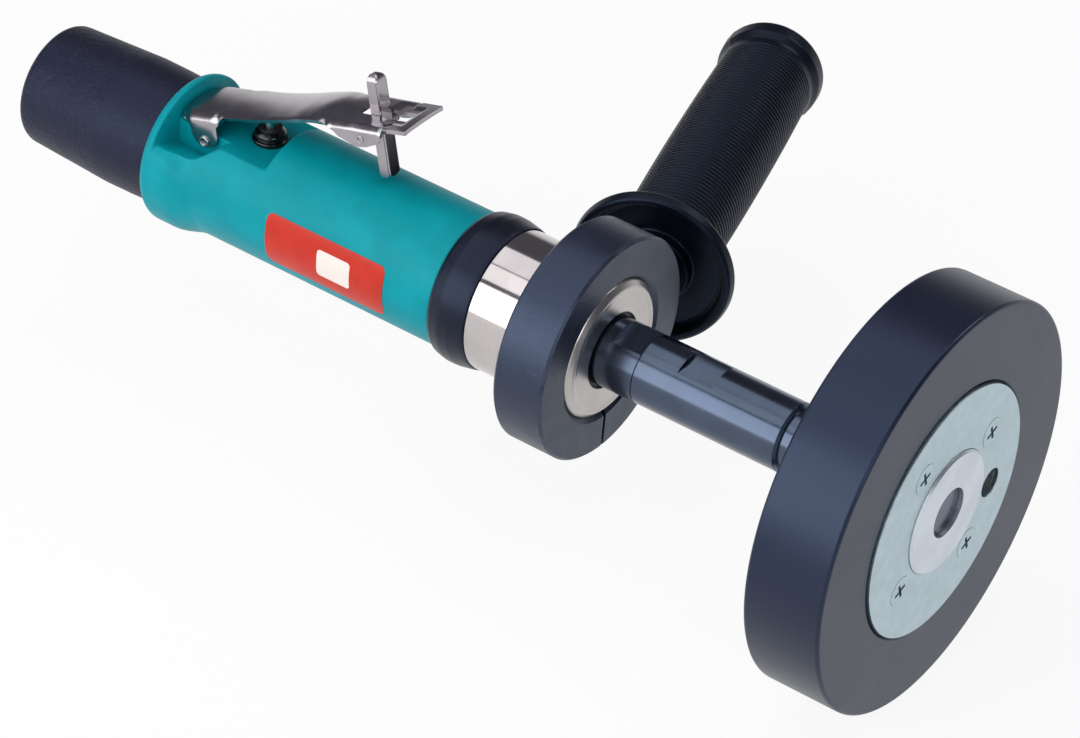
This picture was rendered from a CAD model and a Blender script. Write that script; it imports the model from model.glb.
import math

import bmesh
import bpy
import numpy as np
from mathutils import Euler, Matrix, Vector


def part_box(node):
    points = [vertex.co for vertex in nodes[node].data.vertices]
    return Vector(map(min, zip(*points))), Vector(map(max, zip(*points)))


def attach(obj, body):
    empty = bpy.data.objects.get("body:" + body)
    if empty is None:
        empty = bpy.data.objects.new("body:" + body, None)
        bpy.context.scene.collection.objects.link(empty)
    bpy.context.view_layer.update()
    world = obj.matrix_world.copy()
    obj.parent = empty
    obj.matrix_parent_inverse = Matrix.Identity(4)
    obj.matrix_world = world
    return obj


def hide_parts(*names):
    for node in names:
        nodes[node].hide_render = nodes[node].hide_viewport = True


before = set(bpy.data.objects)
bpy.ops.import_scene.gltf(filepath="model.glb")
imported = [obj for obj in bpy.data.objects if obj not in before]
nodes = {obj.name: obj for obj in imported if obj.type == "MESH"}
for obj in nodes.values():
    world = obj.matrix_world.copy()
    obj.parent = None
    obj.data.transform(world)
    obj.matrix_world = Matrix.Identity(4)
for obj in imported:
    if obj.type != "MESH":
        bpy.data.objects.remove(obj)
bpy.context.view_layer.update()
mm = 0.001
print("frame loaded:", len(nodes), "nodes")


# camera, at the photograph's angle
view = {"place": (0.4637, -0.9200, 0.7833), "turn": (53.6227, -4.2504, 35.8812), "lens": 149.965,
        "film": 36.0, "clip": (0.05, 20)}


def makeCamera():
    data = bpy.data.cameras.new("camera")
    data.lens = view["lens"]
    data.sensor_width = view["film"]
    data.clip_start, data.clip_end = view["clip"]
    camera = bpy.data.objects.new("camera", data)
    camera.location = view["place"]
    camera.rotation_euler = Euler([math.radians(a) for a in view["turn"]])
    bpy.context.scene.collection.objects.link(camera)
    bpy.context.scene.camera = camera


makeCamera()
print("camera made")


# sockets that can be used in plain expressions
class Wire:
    def __init__(self, maker, socket):
        self.maker, self.socket = maker, socket

    def maths(self, operation, *values, clamp=False):
        settings = {"operation": operation, "use_clamp": clamp}
        return self.maker.node("ShaderNodeMath", settings, dict(enumerate(values)))

    def __add__(self, other):
        return self.maths("ADD", self, other)

    def __sub__(self, other):
        return self.maths("SUBTRACT", self, other)

    def __rsub__(self, other):
        return self.maths("SUBTRACT", other, self)

    def __mul__(self, other):
        return self.maths("MULTIPLY", self, other)

    __radd__ = __add__
    __rmul__ = __mul__

    def larger(self, other):
        return self.maths("MAXIMUM", self, other)

    def clamped(self):
        return self.maths("ADD", self, 0.0, clamp=True)

    def absolute(self):
        return self.maths("ABSOLUTE", self)

    def root(self):
        return self.maths("SQRT", self)

    def between(self, low, high):  # 0 below low, 1 above high, smooth from one to the other
        return self.maker.node("ShaderNodeMapRange", {"interpolation_type": "SMOOTHSTEP"},
                               {"Value": self, "From Min": low, "From Max": high})

    def siblings(self):  # all outputs of the same node, by name
        return {socket.name: Wire(self.maker, socket) for socket in self.socket.node.outputs}


class Nodes:  # the nodes of one tree
    def __init__(self, tree):
        self.tree = tree

    def feed(self, socket, value):
        if isinstance(value, Wire):
            self.tree.links.new(value.socket, socket)
        else:
            socket.default_value = value

    def node(self, kind, settings=None, inputs=None, output=0):
        made = self.tree.nodes.new(kind)
        for key, value in (settings or {}).items():
            setattr(made, key, value)
        for key, value in (inputs or {}).items():
            self.feed(made.inputs[key], value)
        return Wire(self, made.outputs[output]) if len(made.outputs) else None

    def mixed(self, share, first, second):
        return self.node("ShaderNodeMix", {"data_type": "RGBA"}, {0: share, 6: first, 7: second}, output=2)

    def mixedValue(self, share, first, second):
        return self.node("ShaderNodeMix", {"data_type": "FLOAT"}, {0: share, 2: first, 3: second})


class Finish(Nodes):  # one material while its nodes are made
    def __init__(self, name, shader):
        self.material = bpy.data.materials.new(name)
        self.material.use_nodes = True
        super().__init__(self.material.node_tree)
        self.shader = self.tree.nodes["Principled BSDF"]
        for socket, value in shader.items():
            self.shader.inputs[socket].default_value = value
        self.material.diffuse_color = shader["Base Color"]

    def place(self):  # the piece's own coordinates, in metres in the model's frame
        return self.node("ShaderNodeTexCoord", output="Object")

    def axes(self):
        split = self.node("ShaderNodeSeparateXYZ", None, {0: self.place()}).siblings()
        return split["X"], split["Y"], split["Z"]

    def noise(self, size, detail, rough=0.5, vector=None):  # size in mm, unless a vector brings its own
        return self.node("ShaderNodeTexNoise", None,
                         {"Vector": vector or self.place(), "Scale": 1.0 if vector else 1.0 / (size * mm),
                          "Detail": detail, "Roughness": rough})

    def bump(self, height, depth, strength=1.0, below=None):  # depth in mm of a height from 0 to 1
        inputs = {"Height": height, "Distance": depth * mm, "Strength": strength}
        if below:
            inputs["Normal"] = below
        return self.node("ShaderNodeBump", None, inputs)

    def give(self, colour, roughness, normal):
        for socket, value in (("Base Color", colour), ("Roughness", roughness), ("Normal", normal)):
            self.feed(self.shader.inputs[socket], value)
        return self.material


def tint(red, green, blue):  # a colour picked on screen, 0 to 255
    def linear(v):
        v /= 255
        return v / 12.92 if v <= 0.04045 else ((v + 0.055) / 1.055) ** 2.4
    return (linear(red), linear(green), linear(blue), 1.0)


def shaded(colour, share):
    return (colour[0] * share, colour[1] * share, colour[2] * share, 1.0)


# soft plastic or rubber: fine grain, faint mottle, and a duller skin where it has been handled
moulded = {"gloss": 0.5, "glossTint": (1, 1, 1, 1), "mottleSize": 9, "dark": 0.9, "light": 1.08,
           "roughSpread": 0.1, "specks": 0.0, "wearShare": 0.55, "fadeLength": 1.5}


def mouldedFinish(name, colour, look):
    look = {"speckColour": shaded(colour, 3), **moulded, **look}
    f = Finish(name, {"Base Color": colour, "Specular IOR Level": look["gloss"],
                      "Specular Tint": look["glossTint"]})
    mottle = f.noise(look["mottleSize"], 3)
    grain = f.noise(look["grainSize"], 2, rough=0.6)
    lumps = f.noise(look["grainSize"] * 5, 1)
    dark, light = shaded(colour, look["dark"]), shaded(colour, look["light"])
    skin = f.mixed(mottle.between(0.35, 0.7), dark, light)
    skin = f.mixed(grain.between(0.62, 0.72) * look["specks"], skin, look["speckColour"])
    if "wear" in look:  # the skin is rubbed pale along the front edge of the rim
        xFrom, xTo, rFrom, rTo = [value * mm for value in look["wear"]]
        x, y, z = f.axes()
        edge = x.between(xFrom, xTo) * (y * y + z * z).root().between(rFrom, rTo) * mottle.between(0.3, 0.6)
        skin = f.mixed(edge * look["wearShare"], skin, look["speckColour"])
    rough = mottle * look["roughSpread"] + (look["rough"] - look["roughSpread"] / 2) + (grain - 0.5) * 0.08
    if "smoothFrom" in look:  # the grain fades out in front of this place on the axis
        fadeFrom, fadeTo = look["smoothFrom"] * mm, (look["smoothFrom"] + look["fadeLength"]) * mm
        worn = f.axes()[0].between(fadeFrom, fadeTo)
        grain = f.mixedValue(worn, grain, 0.5)
        lumps = f.mixedValue(worn, lumps, 0.5)
    under = f.bump(lumps, look["grainDepth"] * 1.4, 0.7)
    return f.give(skin, rough.clamped(), f.bump(grain, look["grainDepth"], 1.0, under))


# metal turned about X: fine marks of the tool on round faces and rings on flat ones
turned = {"metallic": 1.0, "dark": 0.88, "streak": 0.25, "streakShade": 0.72, "roughSpread": 0.1,
          "markRough": 0.08, "markDepth": 0.01, "stainSize": 14}


def turnedSteel(name, colour, look):
    look = {**turned, **look}
    f = Finish(name, {"Base Color": colour, "Metallic": look["metallic"]})
    x, y, z = f.axes()
    radius = (y * y + z * z).root()
    fine = 1 / (look["mark"] * mm)
    drawn = f.node("ShaderNodeCombineXYZ", None, {0: x * fine, 1: radius * fine, 2: (y + z) * 12.0})
    marks = f.noise(1, 3, 0.6, drawn)
    stain = f.noise(look["stainSize"], 3)
    metal = f.mixed(stain.between(0.35, 0.7), shaded(colour, look["dark"]), colour)
    metal = f.mixed(marks.between(0.35, 0.75) * look["streak"], metal, shaded(colour, look["streakShade"]))
    rough = look["rough"] + (stain - 0.5) * look["roughSpread"] + (marks - 0.5) * look["markRough"]
    return f.give(metal, rough.clamped(), f.bump(marks, look["markDepth"], 0.6))


# stamped, cast or plated metal: fine grain without a direction, with faint stains
plain = {"grainSize": 0.35, "stainSize": 7, "dark": 0.85, "light": 1.2, "specks": 0.3, "roughSpread": 0.16,
         "grainDepth": 0.008}


def plainMetal(name, colour, look):
    look = {**plain, **look}
    f = Finish(name, {"Base Color": colour, "Metallic": 1.0})
    grain = f.noise(look["grainSize"], 3, rough=0.65)
    stain = f.noise(look["stainSize"], 4, rough=0.6)
    metal = f.mixed(stain.between(0.3, 0.72), shaded(colour, look["dark"]), colour)
    metal = f.mixed(grain.between(0.4, 0.8) * look["specks"], metal, shaded(colour, look["light"]))
    rough = look["rough"] + (stain - 0.5) * look["roughSpread"] + (grain - 0.5) * 0.12
    return f.give(metal, rough.clamped(), f.bump(grain, look["grainDepth"], 0.7))


blueGloss = (0.5, 0.66, 1, 1)
finishes = {
    "teal_moulding": mouldedFinish("tealMoulding", tint(0, 142, 154), {
        "grainSize": 0.5, "grainDepth": 0.05, "rough": 0.42, "roughSpread": 0.12, "dark": 0.9, "light": 1.04,
        "mottleSize": 12, "gloss": 0.12, "specks": 0.22, "speckColour": tint(24, 170, 180)}),
    "black_rubber": mouldedFinish("gripRubber", tint(8, 12, 22), {
        "glossTint": blueGloss, "grainSize": 0.3, "grainDepth": 0.012, "rough": 0.36, "roughSpread": 0.14,
        "gloss": 0.26}),
    "bumper_rubber": mouldedFinish("bumperRubber", tint(9, 7, 22), {
        "glossTint": blueGloss, "grainSize": 0.5, "grainDepth": 0.02, "rough": 0.36, "roughSpread": 0.12,
        "gloss": 0.4}),
    "boot_rubber": mouldedFinish("bootRubber", tint(19, 17, 36), {
        "glossTint": blueGloss, "grainSize": 1.2, "grainDepth": 0.32, "rough": 0.5, "roughSpread": 0.14,
        "specks": 0.4, "speckColour": tint(58, 60, 74), "mottleSize": 5, "gloss": 0.4, "smoothFrom": -288}),
    "tyre_rubber": mouldedFinish("tyreRubber", tint(10, 13, 34), {
        "glossTint": blueGloss, "grainSize": 0.45, "grainDepth": 0.012, "rough": 0.36, "mottleSize": 20,
        "gloss": 0.6}),
    "collar_black": mouldedFinish("collarBlack", tint(15, 16, 34), {
        "glossTint": blueGloss, "grainSize": 0.5, "grainDepth": 0.06, "rough": 0.4, "roughSpread": 0.16,
        "specks": 0.55, "speckColour": tint(66, 71, 86), "wear": (-104.7, -104.1, 35.2, 35.9),
        "mottleSize": 7, "gloss": 0.85}),
    "cap_plastic": mouldedFinish("glossBlack", tint(11, 11, 14), {
        "grainSize": 0.6, "grainDepth": 0.004, "rough": 0.16, "roughSpread": 0.08}),
    "seal_black": mouldedFinish("sealRubber", tint(20, 20, 24), {
        "grainSize": 0.4, "grainDepth": 0.01, "rough": 0.5}),
    "gasket_paper": mouldedFinish("gasketPaper", tint(88, 86, 78), {
        "grainSize": 0.6, "grainDepth": 0.02, "rough": 0.85}),
    "felt_grey": mouldedFinish("felt", tint(150, 147, 140), {
        "grainSize": 0.5, "grainDepth": 0.15, "rough": 0.95}),
    "vane_brown": mouldedFinish("vaneBoard", tint(132, 92, 58), {
        "grainSize": 0.5, "grainDepth": 0.01, "rough": 0.6}),
    "bright_steel": turnedSteel("brightSteel", tint(196, 190, 190), {
        "mark": 0.22, "rough": 0.1, "markDepth": 0.002, "streak": 0.2, "roughSpread": 0.04,
        "markRough": 0.04}),
    "satin_steel": turnedSteel("satinSteel", tint(188, 184, 182), {"mark": 0.3, "rough": 0.3}),
    "bearing_steel": turnedSteel("bearingSteel", tint(220, 220, 220), {"mark": 0.2, "rough": 0.18}),
    "black_oxide": turnedSteel("blackOxide", tint(80, 90, 108), {
        "mark": 0.24, "rough": 0.2, "metallic": 0.95, "markDepth": 0.012}),
    "cast_hub": turnedSteel("castHub", tint(212, 219, 227), {"mark": 0.5, "rough": 0.42, "streak": 0.15}),
    "gear_steel": plainMetal("gearSteel", tint(160, 160, 164), {"rough": 0.35}),
    "zinc_plate": plainMetal("zincPlate", tint(180, 198, 207), {
        "rough": 0.38, "grainSize": 0.5, "stainSize": 5, "specks": 0.35}),
    "nickel_lever": plainMetal("nickelLever", tint(168, 163, 168), {
        "rough": 0.18, "grainSize": 0.3, "stainSize": 9, "specks": 0.2}),
    "valve_brass": plainMetal("valveBrass", tint(120, 104, 84), {"rough": 0.4}),
    "motor_iron": plainMetal("motorIron", tint(140, 140, 142), {"rough": 0.45}),
}
print("finishes made:", len(finishes))


# mesh helpers, all in mm
tiny = 1e-6


def filleted(points, steps=5, closed=False):
    # each point is (x, r) or (x, r, fillet radius); corners with a radius become arcs
    made = []
    count = len(points)
    for i, point in enumerate(points):
        here = np.array(point[:2], float)
        radius = point[2] if len(point) > 2 else 0
        if not radius or (not closed and i in (0, count - 1)):
            made.append(tuple(here))
            continue
        before = np.array(points[i - 1][:2], float) - here
        after = np.array(points[(i + 1) % count][:2], float) - here
        lengthBefore, lengthAfter = np.linalg.norm(before), np.linalg.norm(after)
        before, after = before / lengthBefore, after / lengthAfter
        half = math.acos(max(-1, min(1, float(before @ after)))) / 2
        reach = min(radius / max(math.tan(half), 1e-3), 0.49 * lengthBefore, 0.49 * lengthAfter)
        radius = reach * math.tan(half)
        inward = (before + after) / max(np.linalg.norm(before + after), 1e-9)
        middle = inward * (radius / math.sin(half)) + here
        start, end = here + before * reach - middle, here + after * reach - middle
        sweep = math.pi - 2 * half
        for k in range(steps + 1):
            t = k / steps
            arm = start
            if sweep > tiny:
                arm = (start * math.sin((1 - t) * sweep) + end * math.sin(t * sweep)) / math.sin(sweep)
            made.append(tuple(middle + arm))
    return made


def revolve(profile, segments=144, closed=False, shape=None):
    # a profile of (x, r) turned about X; shape(x, r, angle) may move a point's radius
    points, faces, starts = [], [], []
    for x, r in profile:
        starts.append(len(points))
        if r < tiny:
            points.append((x, 0, 0))
            continue
        for k in range(segments):
            angle = 2 * math.pi * k / segments
            own = shape(x, r, angle) if shape else r
            points.append((x, own * math.cos(angle), own * math.sin(angle)))
    pairs = [(i, i + 1) for i in range(len(profile) - 1)] + ([(len(profile) - 1, 0)] if closed else [])
    for i, j in pairs:
        a, b = starts[i], starts[j]
        wideA, wideB = profile[i][1] > tiny, profile[j][1] > tiny
        for k in range(segments):
            m = (k + 1) % segments
            if wideA and wideB:
                faces.append((a + k, a + m, b + m, b + k))
            elif wideA:
                faces.append((a + k, a + m, b))
            elif wideB:
                faces.append((a, b + m, b + k))
    return np.array(points, float), faces


def laid(points, origin, along, side):
    # turns points drawn about X into a frame whose X is along and whose Y is side
    along, side = Vector(along).normalized(), Vector(side).normalized()
    base = np.array([along, side, along.cross(side)], float)
    return np.asarray(points, float) @ base + np.array(origin, float)


def smooth(t):
    t = np.clip(t, 0, 1)
    return t * t * (3 - 2 * t)


def weigh(made):
    weighted = made.modifiers.new("evenShading", "WEIGHTED_NORMAL")
    weighted.keep_sharp = True
    weighted.weight = 60


def bevelled(made, width, segments, angle):
    bevel = made.modifiers.new("edges", "BEVEL")
    bevel.width = width * mm
    bevel.segments = segments
    bevel.limit_method = "ANGLE"
    bevel.angle_limit = math.radians(angle)
    return bevel


def piece(name, points, faces, body, slot, stands, finish=None, outward=True, sharp=40):
    # a new piece that rides on a body and stands in for CAD nodes
    mesh = bpy.data.meshes.new(name)
    corners = [tuple(p) for p in np.asarray(points, float) * mm]
    mesh.from_pydata(corners, [], [tuple(int(i) for i in f) for f in faces])
    work = bmesh.new()
    work.from_mesh(mesh)
    if outward:
        bmesh.ops.recalc_face_normals(work, faces=work.faces)
    for face in work.faces:
        face.smooth = True
    for edge in work.edges:
        if len(edge.link_faces) == 2 and edge.calc_face_angle(0) > math.radians(sharp):
            edge.smooth = False
    work.to_mesh(mesh)
    work.free()
    made = bpy.data.objects.new(name, mesh)
    bpy.context.scene.collection.objects.link(made)
    made.data.materials.append(finish or finishes[slot])
    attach(made, body)
    if stands:
        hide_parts(*stands)
    return made


def softened(name, width, slot):
    # a CAD node that stays: its edges are rounded over and it gets its finish
    made = nodes[name]
    if "custom_normal" in made.data.attributes:
        made.data.attributes.remove(made.data.attributes["custom_normal"])
    for polygon in made.data.polygons:
        polygon.use_smooth = True
    join = made.modifiers.new("join", "WELD")
    join.merge_threshold = 2e-5
    if width:
        bevel = bevelled(made, width, 2, 32)
        bevel.harden_normals = True
        bevel.use_clamp_overlap = True
    else:
        weigh(made)
    made.data.materials.clear()
    made.data.materials.append(finishes[slot])


# motor housing: a round moulding with a palm swell, a rear rim, the lever's seat and its ear pockets
housing = {"rear": -266.6, "front": -155.3, "radius": 22.1, "bore": 17.6, "wall": 1.4,
           "rearEdge": 3.0, "frontEdge": 0.8, "rimEnd": -262.0, "rimSoft": 1.2,
           "swell": 2.6, "swellRadius": 24.2, "swellFrom": -257.5, "swellFade": 12.0,
           "creaseHeight": 11.8, "creaseFall": 0.56, "creaseLength": 40, "creaseSoft": 7.0,
           "seatRear": -262.0, "seatFront": -224.3, "seatHeight": 16.5, "seatSoft": 0.9,
           "bossHalf": 9.6, "pocketFloor": 8.0, "pocketSlope": 0.34, "rampFrom": -251.5, "rampTo": -240.8,
           "fineStep": 0.45, "fineEnd": -222, "coarseStep": 4.0, "innerEvery": 3, "around": 360}


def edgeRounding(depth, radius):  # how far a rounded edge draws in, by the depth from its end
    short = np.clip(radius - depth, 0, radius)
    return radius - np.sqrt(radius ** 2 - short ** 2)


def housingRadius(x, angle):
    h = housing
    sine, cosine = np.sin(angle), np.abs(np.cos(angle))
    # the rim goes all round, and the swell lies below a crease that falls towards the front
    crease = h["creaseHeight"] - h["creaseFall"] * np.clip(x - h["swellFrom"], 0, h["creaseLength"])
    lower = smooth((crease - h["swellRadius"] * sine) / h["creaseSoft"] + 0.5)
    fade = 1 - smooth((x - h["swellFrom"]) / h["swellFade"])
    rim = 1 - smooth((x - h["rimEnd"] + 1.0) / h["rimSoft"])
    skin = h["radius"] + h["swell"] * np.maximum(rim, fade * lower)
    skin = skin - edgeRounding(x - h["rear"], h["rearEdge"]) - edgeRounding(h["front"] - x, h["frontEdge"])
    # the flat seat, with the pockets beside the boss
    seat = h["seatHeight"] / np.maximum(sine, 0.05)
    ramp = smooth((x - h["rampFrom"]) / (h["rampTo"] - h["rampFrom"]))
    floorHeight = h["pocketFloor"] + (h["seatHeight"] - h["pocketFloor"]) * ramp
    slope = h["pocketSlope"] * (1 - ramp)
    pocket = (floorHeight - slope * h["bossHalf"]) / np.maximum(sine - slope * cosine, 0.05)
    boss = h["bossHalf"] / np.maximum(cosine, 1e-3)
    cut = np.where(sine > 0.05, np.minimum(seat, np.maximum(pocket, boss)), 99)
    inside = smooth((x - h["seatRear"] + 0.6) / h["seatSoft"])
    inside = inside * (1 - smooth((x - h["seatFront"] + h["seatSoft"]) / h["seatSoft"]))
    return skin + (np.minimum(skin, cut) - skin) * inside


def makeHousing():
    h = housing
    rearEnd, frontEnd, count = h["rear"] + h["rearEdge"], h["front"] - 1, h["around"]
    xs = np.unique(np.concatenate([np.linspace(h["rear"], rearEnd, 12),
                                   np.arange(rearEnd, h["fineEnd"], h["fineStep"]),
                                   np.arange(h["fineEnd"], frontEnd, h["coarseStep"]),
                                   np.linspace(frontEnd, h["front"], 7)]))
    angles = 2 * np.pi * np.arange(count) / count
    radius = housingRadius(*np.meshgrid(xs, angles, indexing="ij"))

    def ring(x, radii):
        return np.stack([np.full(count, x), radii * np.cos(angles), radii * np.sin(angles)], -1)

    rings = [ring(x, radius[i]) for i, x in enumerate(xs)]
    # the bore keeps a wall under the seat and the pockets
    for i in [len(xs) - 1, *range(len(xs) - 2, 0, -h["innerEvery"]), 0]:
        rings.append(ring(xs[i], np.minimum(h["bore"], radius[i] - h["wall"])))
    faces = []
    for i in range(len(rings)):
        j = (i + 1) % len(rings)
        for k in range(count):
            m = (k + 1) % count
            faces.append((i * count + k, i * count + m, j * count + m, j * count + k))
    made = piece("housingShell", np.concatenate(rings), faces, "body", "teal_moulding", ("motor_housing",),
                 sharp=55)
    weigh(made)


makeHousing()
print("housing made")


# label: an orange sticker with rounded corners and a bare pale panel
label = {"thick": 0.14, "lift": 0.02, "corner": 2.2, "columns": 71, "rows": 30, "orange": tint(214, 56, 34),
         "inkDark": tint(180, 32, 8), "inkLight": tint(189, 37, 12), "bare": tint(226, 216, 210),
         "panel": (-191.4, -0.7), "panelHalf": (5.0, 3.5), "panelCorner": (1.15, 1.28)}


def labelPrint():
    f = Finish("labelPrint", {"Base Color": label["orange"], "Specular IOR Level": 0.3, "Coat Weight": 0.08,
                              "Coat Roughness": 0.2})
    x, y, z = f.axes()
    grain = f.noise(0.5, 2)
    mottle = f.noise(6, 3)
    cornerFrom, cornerTo = label["panelCorner"]
    across, up = [((value - middle * mm).absolute() - half * mm).larger(0.0)
                  for value, middle, half in zip((x, z), label["panel"], label["panelHalf"])]
    panel = 1 - (across * across + up * up).root().between(cornerFrom * mm, cornerTo * mm)
    ink = f.mixed(mottle.between(0.3, 0.7), label["inkDark"], label["inkLight"])
    return f.give(f.mixed(panel, ink, label["bare"]), 0.34 + (grain - 0.5) * 0.1, f.bump(grain, 0.004, 0.5))


def makeLabel():
    low, high = [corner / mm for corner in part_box("name_label")]
    r, corner, rows, lift = housing["radius"], label["corner"], label["rows"], label["lift"]
    arcLow, arcHigh = r * math.asin(low.z / r), r * math.asin(high.z / r)
    centreX, centreS = (low.x + high.x) / 2, (arcLow + arcHigh) / 2
    halfX, halfS = (high.x - low.x) / 2 - lift, (arcHigh - arcLow) / 2 - lift
    columns = np.linspace(-halfX, halfX, label["columns"])
    points, faces = [], []
    for u in columns:  # the rows draw in at the rounded ends
        over = max(0.0, abs(u) - (halfX - corner))
        reach = halfS - corner + math.sqrt(max(corner ** 2 - over ** 2, 0.0))
        for radius in (r + lift, r + lift + label["thick"]):
            for v in np.linspace(-1, 1, rows):
                angle = -(centreS + reach * v) / r
                points.append((centreX + u, -radius * math.cos(angle), -radius * math.sin(angle)))
    span = 2 * rows
    for i in range(len(columns) - 1):
        a, b = i * span, (i + 1) * span
        for k in range(rows - 1):
            faces.append((a + rows + k, a + rows + k + 1, b + rows + k + 1, b + rows + k))
            faces.append((a + k, b + k, b + k + 1, a + k + 1))
        faces.append((a, a + rows, b + rows, b))
        faces.append((a + rows - 1, b + rows - 1, b + 2 * rows - 1, a + 2 * rows - 1))
    for a in (0, (len(columns) - 1) * span):
        for k in range(rows - 1):
            faces.append((a + k, a + k + 1, a + rows + k + 1, a + rows + k))
    made = piece("labelSticker", points, faces, "body", "label_print", ("name_label",), labelPrint())
    weigh(made)


makeLabel()
print("label made")


# turned pieces of the body
bumper = {"front": -141.6, "rear": -155.3, "inside": 20.2, "lip": 23.1, "lipRise": 0.4, "crownFrom": 9.0}
noseCap = {"front": -102.8, "rear": -107.0, "outer": 22.78, "rim": 4.0, "sunk": 0.45, "bore": 12.0}
valveCup = {"x": -234.0, "foot": 6.2, "footRadius": 5.0, "base": 16.5, "top": 21.2, "flange": 5.7,
            "waist": 4.7, "dome": 5.1, "mouth": 2.5, "mouthDepth": 0.8}


def makeTurned(name, profile, slot, stands, finish=None, segments=144, closed=True, place=None):
    points, faces = revolve(profile, segments, closed)
    if place:
        points = laid(points, *place)
    weigh(piece(name, points, faces, "body", slot, stands, finish))


def makeBumper():
    # a flat band behind, an edge, and a slope down to a soft lip on the gear case
    b = bumper
    front, rear, inside, lip = b["front"], b["rear"], b["inside"], b["lip"]
    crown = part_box("bumper_ring")[1].z / mm - 0.02
    profile = filleted([(front, inside), (front, lip, 0.6), (front - 1.4, lip + b["lipRise"], 1.0),
                        (front - 5.6, crown - 0.1, 1.2), (front - b["crownFrom"], crown, 6),
                        (rear + 1.2, crown - 0.7, 2), (rear, lip - 0.2, 0.7), (rear, inside)], 7)
    makeTurned("bumperRing", profile, "black_rubber", ("bumper_ring",), finishes["bumper_rubber"])


def makeNoseCap():
    # a bright rounded rim round a shallow satin face, with the bore for the spindle
    c = noseCap
    front, rear, outer, bore, face = c["front"], c["rear"], c["outer"], c["bore"], c["front"] - c["sunk"]
    profile = filleted([(rear, bore), (rear, outer, 0.3), (front - 2.0, outer, 1.9),
                        (front, outer - 2.4, 1.7), (face, outer - c["rim"], 1.4),
                        (face, bore + 0.5, 0.3), (front - 2.4, bore - 0.1)], 6)
    makeTurned("noseCap", profile, "satin_steel", ("nose_cap",))


def makeValveCup():
    # stepped black cup that guides the valve stem
    v = valveCup
    base, top, low = v["base"], v["top"], v["top"] - v["mouthDepth"]
    waist, dome, mouth = v["waist"], v["dome"], v["mouth"]
    profile = filleted([(v["foot"], 0), (v["foot"], v["footRadius"]), (base, v["footRadius"]),
                        (base, v["flange"], 0.3), (base + 1.5, v["flange"], 0.5), (base + 1.5, waist, 0.2),
                        (base + 2.0, waist, 0.2), (base + 2.0, dome, 0.4), (base + 3.2, dome - 0.2, 1.2),
                        (top, mouth + 1.0, 0.6), (top, mouth, 0.2), (low, mouth - 0.2), (low, 0)], 5)
    makeTurned("valveCup", profile, "cap_plastic", ("valve_bushing",), None, 96, False,
               ((v["x"], 0, 0), (0, 0, 1), (1, 0, 0)))


makeBumper()
makeNoseCap()
makeValveCup()
print("turned pieces made")


# side handle: guard, ribbed grip and end bead in one rubber moulding
grip = {"origin": (-112.4, 20.2, 0.0), "lean": 16.2, "start": 22.4, "guard": 21.5, "end": 151.0,
        "guardRadius": 26.4, "beadRadius": 17.6, "radius": 16.6, "waist": 1.1, "waistReach": 63.5,
        "neck": 12, "studRadius": 5.3, "ribPitch": 1.8, "ribDepth": 0.5, "ribCorner": 0.12,
        "seams": (2.2, 2.2 + math.pi), "seamHalf": 0.035, "seamRise": 0.1}


def gripRadius(z):
    middle = (grip["guard"] + grip["end"]) / 2
    return grip["radius"] - grip["waist"] * ((z - middle) / grip["waistReach"]) ** 2


def makeGrip():
    g = grip
    start, guard, wide, end, bead = g["start"], g["guard"], g["guardRadius"], g["end"], g["beadRadius"]
    neck, corner, first = g["neck"], g["ribCorner"], g["guard"] + 11
    count = int((end - 14 - first) // g["ribPitch"])
    root = filleted([(start, g["studRadius"]), (start, neck, 0.5), (guard + 4.6, neck, 1.0),
                     (guard + 4.2, wide - 4.6, 1.4), (guard + 0.4, wide - 3.2, 0.8),
                     (guard, wide - 0.9, 1.3),
                     (guard + 3.6, wide, 1.5), (guard + 5.2, wide - 1.6, 1.6), (guard + 7.4, wide - 7, 5),
                     (first - 2.4, gripRadius(first) + 0.6, 2),
                     (first, gripRadius(first) - g["ribDepth"])], 6)
    ribs = []
    for i in range(count):
        z = first + i * g["ribPitch"]
        top, low = gripRadius(z), gripRadius(z) - g["ribDepth"]
        ribs += [(z + 0.12, low + corner), (z + 0.32, top - corner), (z + 0.6, top), (z + 1.0, top),
                 (z + 1.28, top - corner), (z + 1.48, low + corner), (z + 1.64, low)]
    last = first + count * g["ribPitch"]
    body = gripRadius(last)
    tail = filleted([(last, body - g["ribDepth"]), (last + 0.3, body, 0.3), (end - 11, body, 4),
                     (end - 8.0, bead - 0.2, 2.2), (end - 3.2, bead, 2.4), (end, bead - 3.2, 3.0),
                     (end - 0.6, bead - 8.4, 2), (end - 0.6, 0)], 7)

    def seam(x, r, angle):
        # the mould's parting line runs along two sides
        near = min(abs((angle - place + math.pi) % (2 * math.pi) - math.pi) for place in g["seams"])
        if near > g["seamHalf"] or x < first - 4 or x > end - 3:
            return r
        full = gripRadius(x) if first < x < last else r
        return max(r, full - 0.05) + g["seamRise"]

    points, faces = revolve(root + ribs + tail, 180, shape=seam)
    lean = math.radians(g["lean"])
    points = laid(points, g["origin"], (-math.sin(lean), math.cos(lean), 0), (0, 0, 1))
    weigh(piece("gripMoulding", points, faces, "side_handle", "black_rubber", ("handle_grip",), sharp=60))


makeGrip()
print("grip made")


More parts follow.
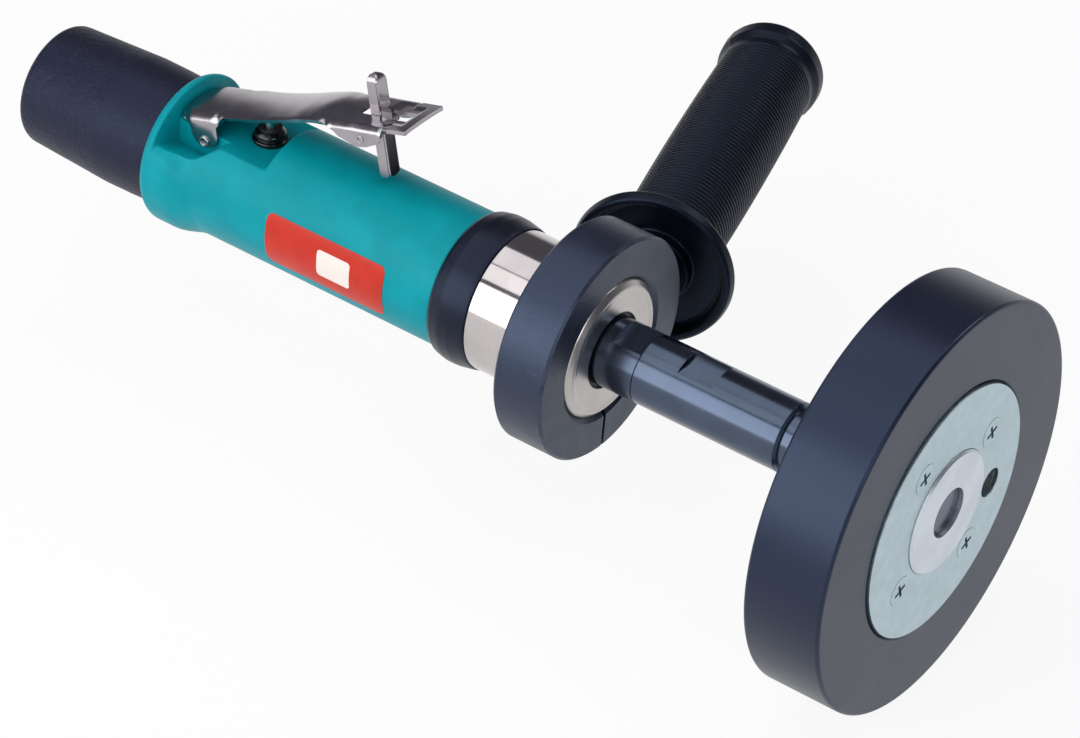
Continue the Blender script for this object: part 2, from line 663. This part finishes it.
# throttle lever: one stamped sheet, arched across, with ears, tabs, a sunk frame and a slot
# places along it are measured from its pin, in its own plane; heights, halves, folds and rounds are
# given at stations along it: top of the sheet, half width, angle and length of the turned-down bend
lever = {"pivot": (-250.8, 13.8), "rise": 20.5, "tail": -7.2, "tip": 81.2, "thick": 1.35, "step": 0.55,
         "slot": (58.5, 76.9), "slotHalf": 2.95, "arch": 1.3, "flatter": (50, 12.0, 0.8),
         "frameFrom": 66.0, "frame": 3.2, "sunk": 0.4, "lockPivot": (64.6, 4.8),
         "bendSteps": 6, "bevel": 0.42, "bevelSteps": 3,
         "heights": ((-7.2, 10.4), (4, 9.8), (14, 9.5), (24, 9.6), (33, 10.2), (41, 10.95), (47, 11.15),
                     (53, 10.5), (60, 9.5), (70, 8.5), (81.2, 7.7)),
         "halves": ((-7.2, 10.2), (-4.6, 11.3), (-3.6, 11.4), (4.6, 11.4), (9.5, 10.4), (15, 10.0),
                    (24, 10.0), (40, 10.2), (50.5, 10.5), (53, 11.3), (72.2, 11.3), (73.8, 9.5), (81.2, 9.3)),
         "folds": ((-7.2, 42), (-4.2, 88), (-3.8, 90), (5.4, 90), (10.5, 26), (49.0, 22), (55.0, 88),
                   (72.2, 88), (73.6, 2), (81.2, 0.5)),
         "rounds": ((-7.2, 5.6), (5.4, 5.6), (10.5, 1.6), (49.0, 1.6), (55.0, 3.6), (72.2, 3.6), (73.6, 1.0),
                    (81.2, 1.0))}
ear = {"from": -4.2, "to": 5.6, "centre": 0.7, "half": 4.95, "end": 2.2, "rise": 4.4,
       "heel": ((5.6, 2.4), (6.0, 4.6), (7.4, 5.6))}
tab = {"from": -11, "to": 7.8, "lip": 2.6, "lobe": 2.5,
       "outline": ((-8.5, 3.0), (-3.2, 0.5), (-1.4, 0), (1.6, 0), (4.2, 0.7), (6.6, 1.2), (7.8, 2.6))}


def stationed(stations, u):
    for (u0, v0), (u1, v1) in zip(stations, stations[1:]):
        if u <= u1:
            return v0 + (v1 - v0) * float(smooth((u - u0) / (u1 - u0)))
    return stations[-1][1]


def curved(stations, u):
    # a smooth curve through the stations
    us, vs = zip(*stations)
    i = max(0, min(len(us) - 2, int(np.searchsorted(us, u)) - 1))
    slopes = np.gradient(np.array(vs), np.array(us))
    width = us[i + 1] - us[i]
    t = (u - us[i]) / width
    return float((2 * t ** 3 - 3 * t ** 2 + 1) * vs[i] + (t ** 3 - 2 * t ** 2 + t) * width * slopes[i]
                 + (3 * t ** 2 - 2 * t ** 3) * vs[i + 1] + (t ** 3 - t ** 2) * width * slopes[i + 1])


def leverBottom(u):
    # lowest point of the turned-down edge, as a height above the pin, or None where there is none
    lockU, lockW = lever["lockPivot"]
    if ear["from"] <= u <= ear["to"]:
        across = (u - ear["centre"]) / ear["half"]
        return -ear["end"] + ear["rise"] * (1 - math.sqrt(max(1 - across ** 2, 0.0)))
    if ear["to"] < u < ear["heel"][-1][0]:
        return float(np.interp(u, *zip(*ear["heel"])))
    if lockU + tab["from"] < u < lockU + tab["to"]:
        low = lockW - tab["lobe"]
        outline = [(tab["from"], curved(lever["heights"], u) - tab["lip"])]
        outline += [(along, low + rise) for along, rise in tab["outline"]]
        return float(np.interp(u - lockU, *zip(*outline)))
    return None


def leverPlace(u, w):  # a point of the lever's own plane, as x and z of the model
    turn = math.radians(lever["rise"])
    return (lever["pivot"][0] + u * math.cos(turn) - w * math.sin(turn),
            lever["pivot"][1] + u * math.sin(turn) + w * math.cos(turn))


def leverSection(u):
    # half of the section at a station, from the middle out: flat part, bend, and turned-down edge
    l = lever
    half, top = stationed(l["halves"], u), curved(l["heights"], u)
    fold, rounding = math.radians(stationed(l["folds"], u)), stationed(l["rounds"], u)
    flatFrom, flatLength, flatShare = l["flatter"]
    arch = l["arch"] * (1 - flatShare * float(smooth((u - flatFrom) / flatLength)))
    slotY, flatEnd = l["slotHalf"], half - rounding * (math.sin(fold) / fold)
    ys = [0.0, slotY / 2, slotY] + [slotY + (flatEnd - slotY) * t for t in (0.25, 0.45, 0.6, 0.75, 0.88, 1.0)]
    row = []
    for y in ys:
        inFrame = float(smooth((half - l["frame"] - y) / 0.5) * smooth((l["tip"] - l["frame"] - u) / 0.6)
                        * smooth((u - l["frameFrom"]) / 4.0))
        row.append((y, top - arch * (y / half) ** 2 - l["sunk"] * inFrame))
    y, w = row[-1]
    tilt, steps = math.atan(2 * arch * y / half ** 2), l["bendSteps"]
    for k in range(steps):
        a = tilt + (fold - tilt) * (k + 0.5) / steps if fold > tilt else tilt
        y, w = y + rounding / steps * math.cos(a), w - rounding / steps * math.sin(a)
        row.append((y, w))
    bottom, shortest = leverBottom(u), 0.2
    length = max(w - bottom, shortest) if bottom is not None and fold > 1.2 else shortest
    for t in (0.34, 0.67, 1.0):
        row.append((y + length * t * math.cos(max(fold, tilt)), w - length * t * math.sin(max(fold, tilt))))
    return row


def makeLever():
    l = lever
    slotStart, slotEnd = l["slot"]
    wanted = {ear["from"], *[u for u, w in ear["heel"]], slotStart, slotEnd}
    wanted |= {l["tip"] - 3.5, l["tip"] - 2.9, l["tip"]}
    us = sorted(float(u) for u in set(np.round(np.arange(l["tail"], l["tip"], l["step"]), 2)) | wanted)
    us = [u for i, u in enumerate(us) if i == 0 or u - us[i - 1] > 0.12 or u in l["slot"] or u == l["tip"]]
    sections = [leverSection(u) for u in us]
    across = len(sections[0])
    width, middle = 2 * across - 1, across - 1
    points, faces = [], []
    for u, row in zip(us, sections):
        for y, w in [(-y, w) for y, w in reversed(row[1:])] + row:
            x, z = leverPlace(u, w)
            points.append((x, y, z))
    for i in range(len(us) - 1):
        inSlot = us[i] >= slotStart - tiny and us[i + 1] <= slotEnd + tiny
        for k in range(width - 1):
            if inSlot and middle - 2 <= k < middle + 2:
                continue
            a = i * width + k
            faces.append((a, a + width, a + width + 1, a + 1))
    made = piece("leverStamping", points, faces, "throttle", "nickel_lever", ("throttle_lever",),
                 outward=False)
    wall = made.modifiers.new("sheet", "SOLIDIFY")
    wall.thickness = l["thick"] * mm
    wall.offset = -1.0
    bevelled(made, l["bevel"], l["bevelSteps"], 50)
    weigh(made)


# pins of the lever: each has rounded ends, a wide bore in both, and a fine hole between the bores
rollPin = {"edge": 0.35, "bore": 0.62, "boreDepth": 8, "boreEdge": 0.2, "hole": 0.2}


def makeRollPin(name, u, w, radius, half, body, stands):
    p = rollPin
    bore, floor, hole = radius * p["bore"], half - p["boreDepth"], p["hole"]
    edge, boreEdge = p["edge"], p["boreEdge"]
    profile = filleted([(-half, radius, edge), (half, radius, edge), (half, bore, boreEdge), (floor, bore),
                        (floor, hole), (-floor, hole), (-floor, bore), (-half, bore, boreEdge)],
                       4, closed=True)
    points, faces = revolve(profile, 40, closed=True)
    x, z = leverPlace(u, w)
    weigh(piece(name, laid(points, (x, 0, z), (0, 1, 0), (1, 0, 0)), faces, body, "satin_steel", stands))


# safety lever: a folded strip with a closed round top, its walls end below in lobes with a notch between
lock = {"half": 2.75, "depth": 2.1, "edge": 0.15, "corner": 0.2, "top": 17.1, "bottom": -16.7, "dome": 3.1,
        "lobe": 1.7, "lobeHeight": 3.4, "rest": 7.0, "shares": (-1, -0.86, -0.62, -0.32, 0, 0.32, 0.62, 0.86),
        "rings": (0, 0.5, 1.2, 2.2, 3.4, 6, 9, 12, 15, 18, 21, 24, 27, 29.5),
        "domeAngles": (0, 15, 30, 45, 58, 70, 80, 86)}


def lockOutline():
    # (x, y, share of the way across its own wall from -1 to 1), once round the strip
    depth, half, outline = lock["depth"], lock["half"], []
    for number in range(4):
        for share in lock["shares"]:
            acrossDepth, acrossHalf = share * (depth - lock["edge"]), share * (half - lock["edge"])
            walls = ((-acrossDepth, -half), (-depth, acrossHalf), (acrossDepth, half), (depth, -acrossHalf))
            x, y = walls[number]
            if share == -1:  # the corner itself is cut back so that it reads as rounded
                x, y = x - math.copysign(lock["corner"], x), y - math.copysign(lock["corner"], y)
            outline.append((x, y, share))
    return outline


def makeLock():
    l = lock
    outline = lockOutline()
    domeFoot = l["top"] - l["dome"]
    zs = [l["bottom"] + step for step in l["rings"]]
    zs += [domeFoot + l["dome"] * math.sin(math.radians(a)) for a in l["domeAngles"]]
    points, faces = [], []
    for z in zs:
        roundness = math.sqrt(max(1 - (max(z - domeFoot, 0) / l["dome"]) ** 2, 0.004))
        narrow = 0.35 + 0.65 * roundness if roundness > 0.07 else 0.3
        narrow *= 1 if z < l["top"] - 0.3 else roundness + 0.35
        fade = max(0.0, 1 - (z - l["bottom"]) / l["lobeHeight"])
        for x, y, share in outline:
            lift = l["lobe"] * (1 - math.sqrt(max(1 - share ** 2 * 0.96, 0)))
            points.append((x * narrow, y * roundness, z + lift * fade))
    ring = len(outline)
    for i in range(len(zs) - 1):
        for k in range(ring):
            m = (k + 1) % ring
            faces.append((i * ring + k, i * ring + m, (i + 1) * ring + m, (i + 1) * ring + k))
    faces.append(tuple(range(ring)))
    faces.append(tuple((len(zs) - 1) * ring + k for k in range(ring)))
    turn = math.radians(lever["rise"] - l["rest"])
    centreX, centreZ = leverPlace(*lever["lockPivot"])
    placed = [(centreX + x * math.cos(turn) - z * math.sin(turn), y,
               centreZ + x * math.sin(turn) + z * math.cos(turn)) for x, y, z in points]
    weigh(piece("lockFinger", placed, faces, "safety_lock", "nickel_lever", ("lock_lever",), sharp=34))


makeLever()
makeRollPin("leverPin", 0, 0, 1.8, 11.8, "body", ("lever_pin",))
makeRollPin("lockPin", *lever["lockPivot"], 1.3, 11.7, "throttle", ("lock_pin",))
makeLock()
print("lever and safety lever made")


# tyre of the wheel: square shoulders, and sides that the clamp plates cover
tyre = {"radius": 65.0, "half": 12.7, "shoulder": 1.2, "plate": 40.0, "recess": 0.9, "bead": 34.0,
        "wall": 4, "inside": 53.0}


def makeTyre():
    t = tyre
    half, plate, sunk, hollow = t["half"], t["plate"], t["half"] - t["recess"], t["half"] - t["wall"]
    side = [(0, t["radius"]), (half, t["radius"], t["shoulder"]), (half, plate + t["recess"], 0.5),
            (sunk, plate), (sunk, t["bead"]), (hollow, t["bead"]), (hollow, t["inside"]), (0, t["inside"])]
    other = [(-x, *rest) for x, *rest in reversed(side)][1:-1]
    points, faces = revolve(filleted(side + other, 5, closed=True), 192, closed=True)
    weigh(piece("tyreRing", points, faces, "output", "tyre_rubber", ("wheel_tyre",)))


makeTyre()
print("tyre made")


# CAD nodes that stay, each with the width in mm of its rounded edges, and its finish
kept = {
    "gear_case": (0.25, "bright_steel"), "exhaust_boot": (0.5, "boot_rubber"),
    "handle_collar": (0.35, "collar_black"), "spindle": (0.25, "black_oxide"),
    "extension_shaft": (0.25, "black_oxide"), "arbor_nut": (0.4, "black_oxide"),
    "arbor_washer": (0.2, "satin_steel"), "wheel_hub": (0.25, "cast_hub"),
    "front_plate": (0.3, "zinc_plate"), "rear_plate": (0.12, "zinc_plate"),
    "plate_screws": (0.25, "zinc_plate"), "tyre_valve": (0.1, "valve_brass"),
    "valve_stem": (0.1, "bright_steel"), "inlet_bushing": (0.25, "satin_steel"),
    "collar_screw": (0.2, "black_oxide"), "handle_stud": (0.2, "satin_steel"),
    "handle_nut": (0.3, "black_oxide"), "nose_seal": (0.15, "seal_black"),
    "lock_spring": (0, "satin_steel"), "valve_spring": (0, "satin_steel"),
    "valve_disc": (0.1, "seal_black"), "bushing_seal": (0.1, "seal_black"),
    "inlet_screen": (0.05, "valve_brass"), "silencer_felt": (0.2, "felt_grey"),
    "spindle_bearing_races": (0, "bearing_steel"), "spindle_bearing_rings": (0, "bearing_steel"),
    "bearing_spacer": (0.1, "bearing_steel"), "rotor_bearing_races": (0, "bearing_steel"),
    "rotor_bearing_rings": (0, "bearing_steel"), "ring_gear": (0, "gear_steel"),
    "planet_gear_1": (0, "gear_steel"), "planet_gear_2": (0, "gear_steel"),
    "planet_gear_3": (0, "gear_steel"), "planet_pins": (0.1, "gear_steel"),
    "front_end_plate": (0.1, "motor_iron"), "rear_end_plate": (0.1, "motor_iron"),
    "motor_cylinder": (0.1, "motor_iron"), "motor_gasket": (0, "gasket_paper"),
    "alignment_pin": (0.1, "satin_steel"), "rotor": (0.1, "gear_steel"),
    "rotor_vanes": (0.05, "vane_brown"),
}
for node, (width, slot) in kept.items():
    softened(node, width, slot)
left = [name for name, made in nodes.items() if not made.hide_render and name not in kept]
print("nodes kept:", len(kept), "left without a finish:", left)


# studio: pale floor, white surround, soft lights
white = (1, 1, 1, 1)
studio = {"floor": -65.6, "floorReach": 6.0, "floorColour": tint(244, 244, 244), "floorGlow": 0.9,
          "worldStrength": 0.35, "ceiling": (0.11, 0.11, 0.13, 1), "ceilingFrom": -0.05, "ceilingTo": 0.24}
# two dimmer panels hang over the object and a brighter one stands in front of it, with dark gaps between
# each spans some degrees of the circle about the object's axis, from level in front to straight above
panels = {"distance": 1.05, "middle": -0.6, "length": 1.5, "spans": ((81, 116), (53, 79), (0, 46)),
          "power": (4.0, 3.6, 12.6)}
lamps = {
    "frontFill": {"place": (1.1, -0.7, 0.7), "aim": (-0.02, 0.0, 0.0), "size": (0.7, 0.7), "power": 5.0},
    "backRim": {"place": (0.25, 1.0, 1.1), "aim": (-0.1, 0.08, 0.0), "size": (0.8, 0.4), "power": 4.0},
}


def makeWorld():
    world = bpy.data.worlds.new("studio")
    bpy.context.scene.world = world
    world.use_nodes = True
    world.node_tree.nodes.clear()
    n = Nodes(world.node_tree)
    rays = n.node("ShaderNodeLightPath").siblings()
    seen = rays["Is Camera Ray"].larger(rays["Is Transmission Ray"])
    direction = n.node("ShaderNodeTexCoord", output="Generated")
    up = n.node("ShaderNodeSeparateXYZ", None, {0: direction}).siblings()["Z"]
    surround = n.mixed(up.between(studio["ceilingFrom"], studio["ceilingTo"]), white, studio["ceiling"])
    dim = studio["worldStrength"]
    strength = seen.larger(rays["Is Glossy Ray"]) * (1 - dim) + dim
    colour = n.mixed(seen, surround, white)
    light = n.node("ShaderNodeBackground", None, {"Color": colour, "Strength": strength})
    n.node("ShaderNodeOutputWorld", None, {"Surface": light})


def makeFloor():
    mesh = bpy.data.meshes.new("floor")
    reach, z = studio["floorReach"], studio["floor"] * mm
    corners = [(-reach, -reach, z), (reach, -reach, z), (reach, reach, z), (-reach, reach, z)]
    mesh.from_pydata(corners, [], [(0, 1, 2, 3)])
    made = bpy.data.objects.new("floor", mesh)
    bpy.context.scene.collection.objects.link(made)
    f = Finish("floorPaper", {"Base Color": studio["floorColour"], "Roughness": 0.9,
                              "Specular IOR Level": 0.2})
    rays = f.node("ShaderNodeLightPath").siblings()
    shown = rays["Is Camera Ray"].larger(rays["Is Glossy Ray"]) * studio["floorGlow"]
    paper = Wire(f, f.shader.outputs[0])
    glow = f.node("ShaderNodeEmission", None, {"Strength": 1.0})
    lit = f.node("ShaderNodeMixShader", None, {0: shown, 1: paper, 2: glow})
    f.feed(f.tree.nodes["Material Output"].inputs["Surface"], lit)
    made.data.materials.append(f.material)


def makeLamp(name, place, turn, size, power):
    data = bpy.data.lights.new(name, "AREA")
    data.shape = "RECTANGLE"
    data.size, data.size_y = size
    data.energy = power
    lamp = bpy.data.objects.new(name, data)
    lamp.location = place
    lamp.rotation_euler = turn
    bpy.context.scene.collection.objects.link(lamp)


makeWorld()
makeFloor()
for number, (low, high) in enumerate(panels["spans"]):
    turn, distance = math.radians((low + high) / 2), panels["distance"]
    size = (panels["length"], 2 * distance * math.tan(math.radians(high - low) / 2))
    place = (panels["middle"], -math.cos(turn) * distance, math.sin(turn) * distance)
    tilt = (math.radians(90) - turn, 0, 0)
    makeLamp("panel" + str(number + 1), place, tilt, size, panels["power"][number])
for name, l in lamps.items():
    turn = (Vector(l["aim"]) - Vector(l["place"])).to_track_quat("-Z", "Y").to_euler()
    makeLamp(name, l["place"], turn, l["size"], l["power"])
bpy.context.scene.view_settings.view_transform = "Standard"
print("studio made")
